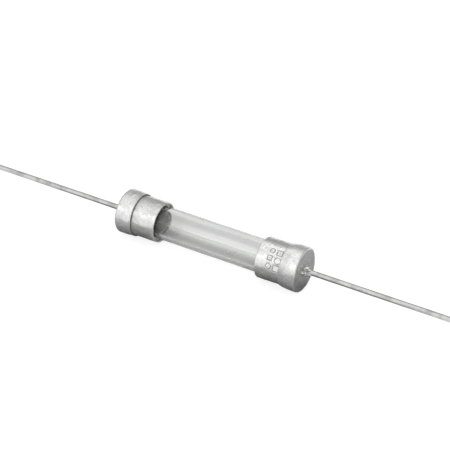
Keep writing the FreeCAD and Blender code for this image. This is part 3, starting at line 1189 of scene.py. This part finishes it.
@dataclass(frozen=True)
class LeadWeld:
    """The lumpy collar of weld metal round the foot of a lead. It climbs higher than the CAD's."""

    side: Side
    lump: float = 0.1
    climb: float = 1.6
    rows: int = 56
    columns: int = 112

    def build(self, effects: Effects) -> bpy.types.Object:
        """Makes the collar as a closed ring.

        Its radius is lead + spread * (1 - u^1.6)^1.3 at share u of its height. Its height, which is
        about climb times the CAD collar's, and its spread change round the lead, and random lumps
        stand on it.

        Args:
            effects: the shared effects.

        Returns:
            The piece.
        """
        span = Span.of(self.side.node("lead_weld"))
        lead = Span.of(self.side.node("lead")).radius
        u = np.linspace(0, 1, self.rows)[:, None]
        angle = angles_round(self.columns)
        rise = 1 + 0.2 * np.sin(3 * angle + 1.0) + 0.12 * np.sin(4 * angle)
        height = self.climb * (span.far - span.near) * rise
        uneven = 1 + 0.16 * np.sin(2 * angle + self.side.seed) + 0.1 * np.sin(5 * angle)
        spread = (span.radius - lead) * uneven
        x = span.near + height * u
        r = lead + spread * (1 - u**1.6) ** 1.3
        lumps = Swell(self.lump, 0.8, 0.3, self.side.seed + 6)(x, angle, r)
        r = r + lumps * np.sin(np.pi * np.clip(u * 0.85 + 0.12, 0, 1))
        r = np.maximum(r, lead - 0.02)
        inner = np.broadcast_to(lead - 0.03, (2, self.columns))
        x = np.vstack((x, x[-1:] - 0.02, np.full((1, self.columns), span.near)))
        r = np.vstack((r, inner))
        points = np.stack((x, -r * np.sin(angle), r * np.cos(angle)), axis=2)
        # Painted shade: the weld's underside is painted darker.
        below = np.clip(-np.cos(angle - 0.5), 0, 1) * np.ones((len(x), 1))
        shell = Shell(points, {"edge": np.zeros(below.shape)}, True, (False, False)).with_stain_and_shade(0.8 * below)
        return dress_end(shell, self.side, "lead_weld_lumps", WELD, effects, "lead_weld")


@dataclass(frozen=True)
class SolderPlug:
    """The solder in the bottom of a ferrule, frozen to an uneven dome inside the glass."""

    side: Side
    wall: float = 0.65
    dome: float = 0.7
    depth: float = 0.5
    columns: int = 96

    def build(self, effects: Effects) -> bpy.types.Object:
        """Makes the plug: a flange under the end of the glass and a lumpy dome up its bore.

        Args:
            effects: the shared effects.

        Returns:
            The piece.
        """
        span = Span.of(self.side.node("solder_plug"))
        tube = Span.of("glass_tube")
        bore = tube.radius - self.wall
        shore = tube.far - self.depth
        corners = [Corner(span.far, 0.0, step=0.5), Corner(span.far, span.radius, 0.05, 0.1),
                   Corner(tube.far, span.radius, 0.03, 0.2), Corner(tube.far, bore - 0.01, 0.03, 0.1)]
        share = np.linspace(0, 1, 24)
        dome = np.stack((shore - self.dome * (1 - (1 - share) ** 2), (bore - 0.01) * (1 - share)), axis=1)
        flange = Section.through([*corners, Corner(shore, bore - 0.01)], closed=False).points
        points = np.vstack((flange, dome[1:]))
        section = Section(points, np.zeros(len(points)), closed=False)
        lumps = Swell(0.05, 1.6, 0.5, self.side.seed + 7)

        def relief(x: np.ndarray, angle: np.ndarray, radius: np.ndarray) -> np.ndarray:
            """Lumps on the dome only."""
            fade = (1 - smooth_step(x, shore - 0.3, shore)) * smooth_step(radius, 0.0, 0.5)
            return lumps(x, angle, radius) * fade

        shell = turn_section(section, self.columns, relief).with_stain_and_shade(0.0)
        return dress_end(shell, self.side, "solder_plug_domed", SOLDER, effects, "solder_plug")


@dataclass(frozen=True)
class CementRing:
    """The ring of cement between the glass and a ferrule, with a ragged front."""

    side: Side
    ragged: float = 0.12
    columns: int = 128

    def build(self, effects: Effects) -> bpy.types.Object:
        """Makes the ring. Its front moves in and out by a random wave, and its walls stay put.

        Args:
            effects: the shared effects.

        Returns:
            The piece.
        """
        span = Span.of(self.side.node("cement_ring"))
        glass = Span.of("glass_tube").radius + 0.005
        wall = span.radius - 0.005
        corners = (Corner(span.near, glass, 0.02, 0.1), Corner(span.far, glass, 0.02, 0.1),
                   Corner(span.far, wall, 0.02, 0.1), Corner(span.near, wall, 0.02, 0.1))
        shell = turn_section(Section.through(corners, closed=True), self.columns)
        angle = angles_round(self.columns)
        wave = Swell(self.ragged, 5.0, 1.0, self.side.seed + 8)
        front = wave(np.zeros_like(angle), angle, np.array([wall]))
        middle = (span.near + span.far) / 2
        shell.points[..., 0] += front * (1 - smooth_step(shell.along, span.near, middle))
        return dress_end(shell, self.side, "cement_ring_gritty", CEMENT, effects, "cement_ring")


@dataclass(frozen=True)
class SolderFilm:
    """The film of solder between a ferrule's end and its lead cap."""

    side: Side
    columns: int = 72

    def build(self, effects: Effects) -> bpy.types.Object:
        """Makes the film: a thin disc with an uneven outline.

        Args:
            effects: the shared effects.

        Returns:
            The piece.
        """
        span = Span.of(self.side.node("solder_film"))
        corners = (Corner(span.near, 0.0, step=0.5), Corner(span.near, span.radius, 0.02, 0.1),
                   Corner(span.far, span.radius, 0.02, 0.5), Corner(span.far, 0.0))
        shell = turn_section(Section.through(corners[::-1], closed=False), self.columns).with_stain_and_shade(0.0)
        draw_in = 1 - 0.05 * (1 + np.sin(3 * angles_round(self.columns) + self.side.seed)) / 2
        shell.points[..., 1:] *= draw_in[..., None]
        return dress_end(shell, self.side, "solder_film_thin", SOLDER, effects, "solder_film")


@dataclass(frozen=True)
class FuseEnd:
    """Everything at one end of the fuse."""

    side: Side
    strokes: tuple[Bar | Ring, ...]
    stamp_depth: float
    flux_and_shade: float
    cap_press: float
    cap_tarnish_and_shade: float
    cap_shade_band: float

    def build(self, effects: Effects) -> list[bpy.types.Object]:
        """Makes the end's seven pieces, from the glass outwards.

        Args:
            effects: the shared effects.

        Returns:
            The pieces.
        """
        makers = (CementRing(self.side), SolderPlug(self.side),
                  Ferrule(self.side, self.strokes, self.stamp_depth, self.flux_and_shade), SolderFilm(self.side),
                  LeadCap(self.side, self.cap_press, self.cap_tarnish_and_shade, self.flux_and_shade, self.cap_shade_band),
                  LeadWeld(self.side), Lead(self.side))
        return [maker.build(effects) for maker in makers]


def plain_shape(shape: str, along: float, start: float, size: float) -> list[Bar | Ring]:
    """The strokes of a ring or a box, with a dot in it if its name ends in one.

    Args:
        shape: ring, box, ring. or box.
        along, start: its corner nearest the mouth and the top, in millimetres.
        size: its width and height.

    Returns:
        The strokes.
    """
    middle = (along + size / 2, start + size / 2)
    if "ring" in shape:
        outline = [Ring(*middle, size / 2)]
    else:
        outline = box_strokes(along, start, along + size, start + size)
    return outline + ([Ring(*middle, 0.0)] if shape.endswith(".") else [])


def right_marks() -> tuple[Bar | Ring, ...]:
    """The marks on the right ferrule: two rows of plain shapes with three dots between them."""
    strokes = [Ring(2.85, girth, 0.0) for girth in (1.2, 2.45, 3.9)]
    for along, shapes in ((1.85, "ring box. ring"), (3.05, "box. ring box")):
        for place, shape in enumerate(shapes.split()):
            size = 0.7 + 0.15 * ((2 * place + len(strokes)) % 3)
            strokes += plain_shape(shape, along, 1.15 + 1.2 * place, size)
    return tuple(strokes)


def left_marks() -> tuple[Bar | Ring, ...]:
    """The marks on the left ferrule: a row of short bars and dots, near the lead cap."""
    bars = [Bar(2.7, start, 3.3, start) for start in (1.0, 1.4, 2.6)]
    return tuple([*bars, Ring(3.0, 2.0, 0.18), Ring(2.8, 3.0, 0.0), Ring(3.2, 3.0, 0.0)])


# ---------------------------------------------------------------- the studio


@dataclass(frozen=True)
class Studio:
    """A pale floor with painted shade and glow that only reflections and glass find, a soft bright tent
    that is darker at the back, one wide softbox in front and above, a small lit card close above that
    only reflections and glass show, and the camera.

    The aims, the zone of painted shade that reflections find on the floor and the fuse's half length are in
    millimetres.
    """

    azimuth: float = 30.24
    elevation: float = 35.0
    distance: float = 260.0
    lens: float = 136.3
    aim_right: float = 1.78
    aim_up: float = 2.21
    reflected_shade_zone: float = 13.4
    reflected_shade_fade: float = 5.0
    half_length: float = 16.0

    def build(self, floor_height: float) -> None:
        """Sets the whole studio round the fuse.

        Args:
            floor_height: the height of the fuse's lowest point, in metres.
        """
        bpy.context.scene.view_settings.view_transform = "Standard"
        self._floor(floor_height)
        self._tent()
        self._lamp("softbox", (1.6, 0.5), 0.8, Vector((-0.3, -0.8, 0.62)), Vector())
        card = self._lamp("top_card", (0.018, 0.06), 0.0014, Vector((-3.5, 13.0, 48.0)) * MM,
                          Vector((0.014, 0.0, 0.0)))
        card.visible_camera = False
        card.visible_diffuse = False
        self._camera()

    def _directions(self) -> tuple[Vector, Vector, Vector]:
        """The camera's right, up and backward directions."""
        turn, lift = math.radians(self.azimuth), math.radians(self.elevation)
        back = Vector((math.sin(turn) * math.cos(lift), -math.cos(turn) * math.cos(lift), math.sin(lift)))
        right = Vector((math.cos(turn), math.sin(turn), 0.0))
        return right, back.cross(right), back

    def _camera(self) -> None:
        """Places the camera and turns it to its aim."""
        right, up, back = self._directions()
        data = bpy.data.cameras.new("camera")
        data.sensor_width, data.lens = 36.0, self.lens
        data.clip_start, data.clip_end = 0.01, 10.0
        camera = bpy.data.objects.new("camera", data)
        bpy.context.scene.collection.objects.link(camera)
        aim = (right * self.aim_right + up * self.aim_up) * MM
        camera.location = aim + back * self.distance * MM
        camera.rotation_euler = (-back).to_track_quat("-Z", "Y").to_euler()
        bpy.context.scene.camera = camera

    def _floor(self, height: float) -> None:
        """A wide level floor, whose tone depends on the kind of ray that meets it.

        The camera sees it white, with a faint shadow. Reflections find painted shade on it close to the
        fuse, darkest beside it and palest beside the glass, and a faint painted glow further off. Through the
        glass it is a middle grey with a painted glowing band beside the fuse. All other light finds it pale.

        Args:
            height: how high it lies, in metres.
        """
        reach = 3.0
        places = np.array([(-reach, -reach, height), (reach, -reach, height), (reach, reach, height),
                           (-reach, reach, height)])
        floor = make_object("floor", places, np.array([[0, 1, 2, 3]]), np.empty((0, 3), int), {})
        made = bpy.data.materials.new("pale_floor")
        made.use_nodes = True
        g = Graph(made.node_tree)
        path = g.add("LightPath").outputs
        x, y, _ = g.parts(g.place())
        past_end = g.math("MAXIMUM", g.math("SUBTRACT", g.math("ABSOLUTE", x), self.half_length), 0.0)
        away = g.math("SQRT", g.math("ADD", g.math("POWER", past_end, 2.0), g.math("POWER", y, 2.0)))
        # Painted shade for reflections: close to the fuse they find the floor darker, though the camera sees
        # it white there.
        far = g.remap(away, self.reflected_shade_zone, self.reflected_shade_zone + self.reflected_shade_fade)
        glossy = g.mixed(far, self._reflected_floor_shade(g, x, y, away), grey(0.95))
        shade = g.mixed(path["Is Glossy Ray"], grey(0.9), glossy)
        shade = g.mixed(path["Is Transmission Ray"], shade, grey(0.64))
        shade = g.mixed(path["Is Camera Ray"], shade, grey(0.27))
        # Painted light: far from the fuse, reflections find the floor glowing a little.
        lift = g.math("MULTIPLY", path["Is Glossy Ray"], g.math("MULTIPLY", far, 0.15))
        # Painted light: through the glass, a glowing band on the floor beside the fuse, brighter towards the
        # right.
        painted_band = g.math("MULTIPLY", g.remap(away, 1.4, 4.2), g.remap(away, 5.2, 8.2, 1.0, 0.1))
        through = g.math("MULTIPLY", painted_band, g.remap(x, -12.0, -1.0, 0.2, 0.31))
        lift = g.math("MULTIPLY_ADD", path["Is Transmission Ray"], through, lift)
        lift = g.math("MULTIPLY_ADD", path["Is Camera Ray"], 0.83, lift)
        lit, seen, both = g.add("BsdfDiffuse"), g.add("Emission"), g.add("AddShader")
        g.put(lit.inputs["Color"], shade)
        g.put(seen.inputs["Strength"], lift)
        g.put(both.inputs[0], lit.outputs[0])
        g.put(both.inputs[1], seen.outputs[0])
        g.put(g.add("OutputMaterial").inputs["Surface"], both.outputs[0])
        floor.data.materials.append(made)
        floor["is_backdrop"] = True

    @staticmethod
    def _reflected_floor_shade(g: Graph, x: bpy.types.NodeSocket, y: bpy.types.NodeSocket,
                    away: bpy.types.NodeSocket) -> bpy.types.NodeSocket:
        """The painted shade that reflections find on the floor close to the fuse: dark beside it, paler
        further off and behind, and palest beside the glass.

        Args:
            g: the floor's graph.
            x, y: a place on the floor.
            away: its distance from the fuse's line.

        Returns:
            The tone.
        """
        behind = g.math("MULTIPLY", g.math("MAXIMUM", y, 0.0), 1.5)
        tone = g.mixed(g.remap(g.math("ADD", away, behind), 2.0, 8.0), grey(0.25), grey(0.46))
        by_glass = g.remap(g.math("ABSOLUTE", g.math("ADD", x, 2.5)), 6.0, 9.5, 0.8, 0.0)
        return g.mixed(by_glass, tone, grey(0.7))

    @staticmethod
    def _tent() -> None:
        """The tent's light by direction.

        With f = z - 0.9 y, its strength grows smoothly from 0.6 at the back, where f is -0.3, to 1.46
        in front and overhead, where f is 1.1. Far to the left it falls to 0.35 of that. Through the
        glass it is at least 0.95.
        """
        world = bpy.data.worlds.new("tent")
        world.use_nodes = True
        bpy.context.scene.world = world
        g = Graph(world.node_tree)
        x, y, z = g.parts(g.add("TexCoord").outputs["Generated"])
        front = g.remap(g.math("MULTIPLY_ADD", y, -0.9, z), -0.3, 1.1, 0.6, 1.46)
        glow = g.math("MULTIPLY", front, g.remap(x, -0.9, -0.5, 0.35, 1.0))
        through = g.math("MULTIPLY", g.add("LightPath").outputs["Is Transmission Ray"], 0.95)
        light = g.add("Background")
        g.put(light.inputs["Strength"], g.math("MAXIMUM", glow, through))
        g.put(g.add("OutputWorld").inputs["Surface"], light.outputs[0])

    @staticmethod
    def _lamp(name: str, size: tuple[float, float], energy: float, place: Vector,
              aim: Vector) -> bpy.types.Object:
        """Hangs a rectangular lamp, turned to its aim.

        Args:
            name: the lamp's name.
            size: its width and height, in metres.
            energy: its power, in watts.
            place, aim: where it hangs and the point that it faces, in metres.

        Returns:
            The lamp.
        """
        data = bpy.data.lights.new(name, "AREA")
        data.shape = "RECTANGLE"
        data.size, data.size_y = size
        data.energy = energy
        lamp = bpy.data.objects.new(name, data)
        bpy.context.scene.collection.objects.link(lamp)
        lamp.location = place
        lamp.rotation_euler = (aim - place).to_track_quat("-Z", "Y").to_euler()
        return lamp


def main() -> None:
    """Builds the fuse round its frame, then the studio round the fuse."""
    logging.basicConfig(level=logging.INFO, format="%(name)s: %(message)s")
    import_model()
    cad_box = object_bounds()
    effects = Effects()
    GlassBody().build(effects)
    FuseWire().build(effects)
    # Per end: the flux value also paints shade at the left cap's rim, each cap gets a painted band of shade,
    # and the left cap's tarnish also paints it a little darker.
    for end in (FuseEnd(Side.LEFT, left_marks(), stamp_depth=0.012, flux_and_shade=1.0, cap_press=0.0,
                        cap_tarnish_and_shade=0.02, cap_shade_band=0.2),
                FuseEnd(Side.RIGHT, right_marks(), stamp_depth=0.05, flux_and_shade=0.0, cap_press=0.5,
                        cap_tarnish_and_shade=0.0, cap_shade_band=0.45)):
        end.build(effects)
    Studio().build(min(cad_box[0].z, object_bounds()[0].z))


if __name__ == "__main__":
    main()
